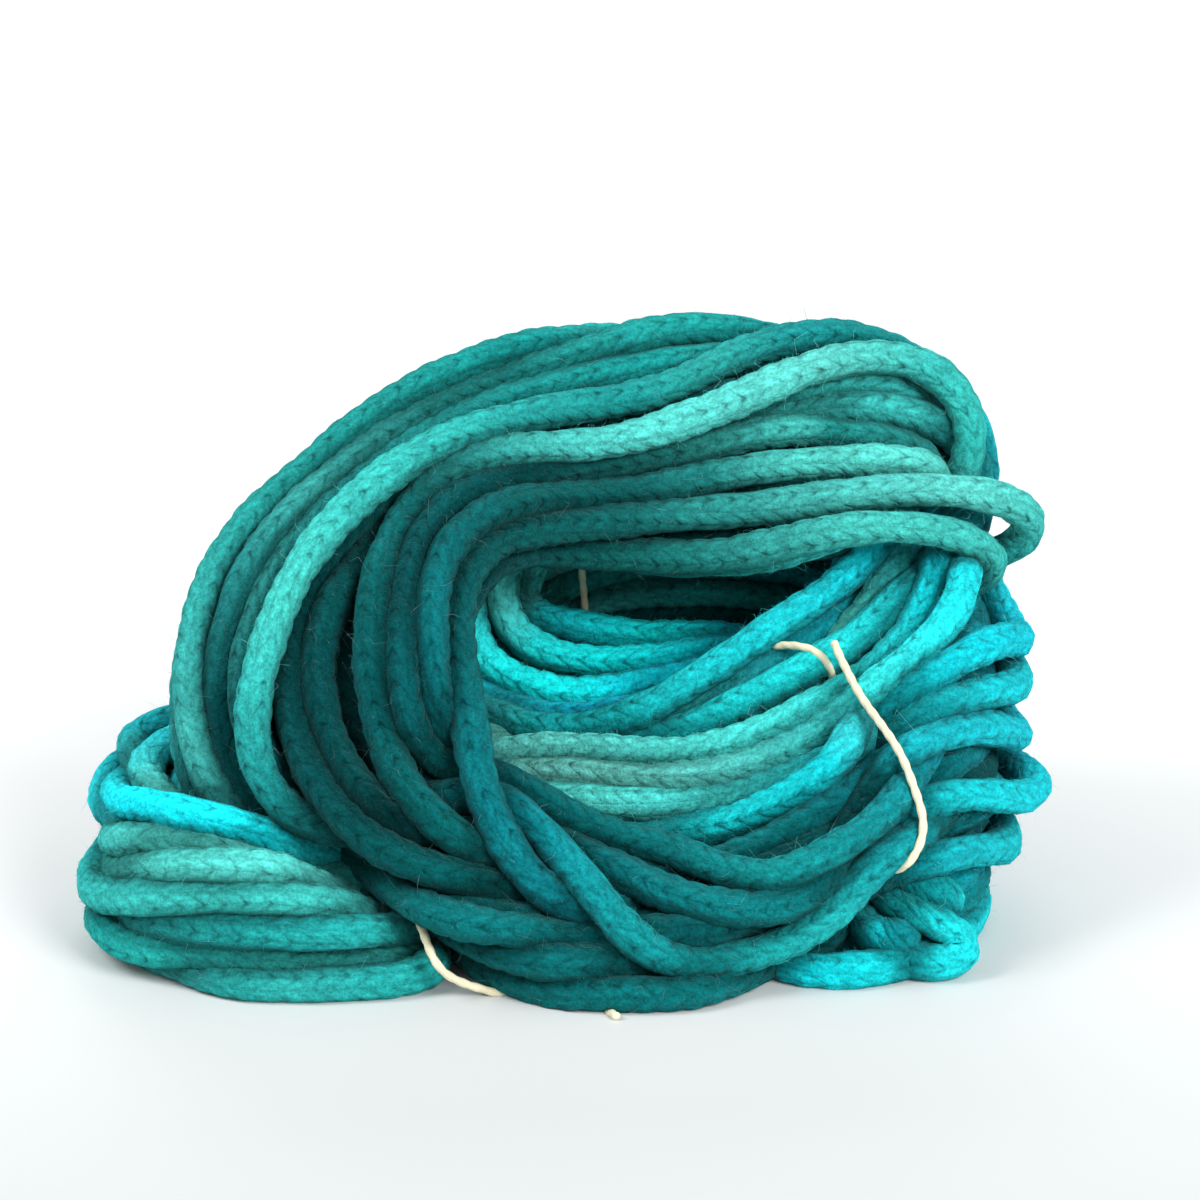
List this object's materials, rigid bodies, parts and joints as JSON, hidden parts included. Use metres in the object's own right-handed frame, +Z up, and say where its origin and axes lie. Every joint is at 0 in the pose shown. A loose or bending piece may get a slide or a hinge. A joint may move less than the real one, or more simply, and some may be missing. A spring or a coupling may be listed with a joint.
{
  "type": "skein of chunky merino yarn",
  "caption": "Hank of thick hand-dyed teal wool yarn, folded over on itself as it lies on a table, held by thin cotton ties.",
  "frame": {"origin": "middle of the bounding box's footprint, on the table", "axes": "+Z up, +Y away from the viewer of the picture, +X to the viewer's right, along the hank's long side"},
  "size_m": [0.2247, 0.1568, 0.1335],
  "materials": {
    "wool": "soft felted wool in mottled teal, aqua and turquoise",
    "cotton": "matte undyed cotton thread"
  },
  "bodies": {
    "root": {"hank": "wool", "tie_right": "cotton", "tie_left": "cotton", "tie_back": "cotton"}
  },
  "joints": []
}
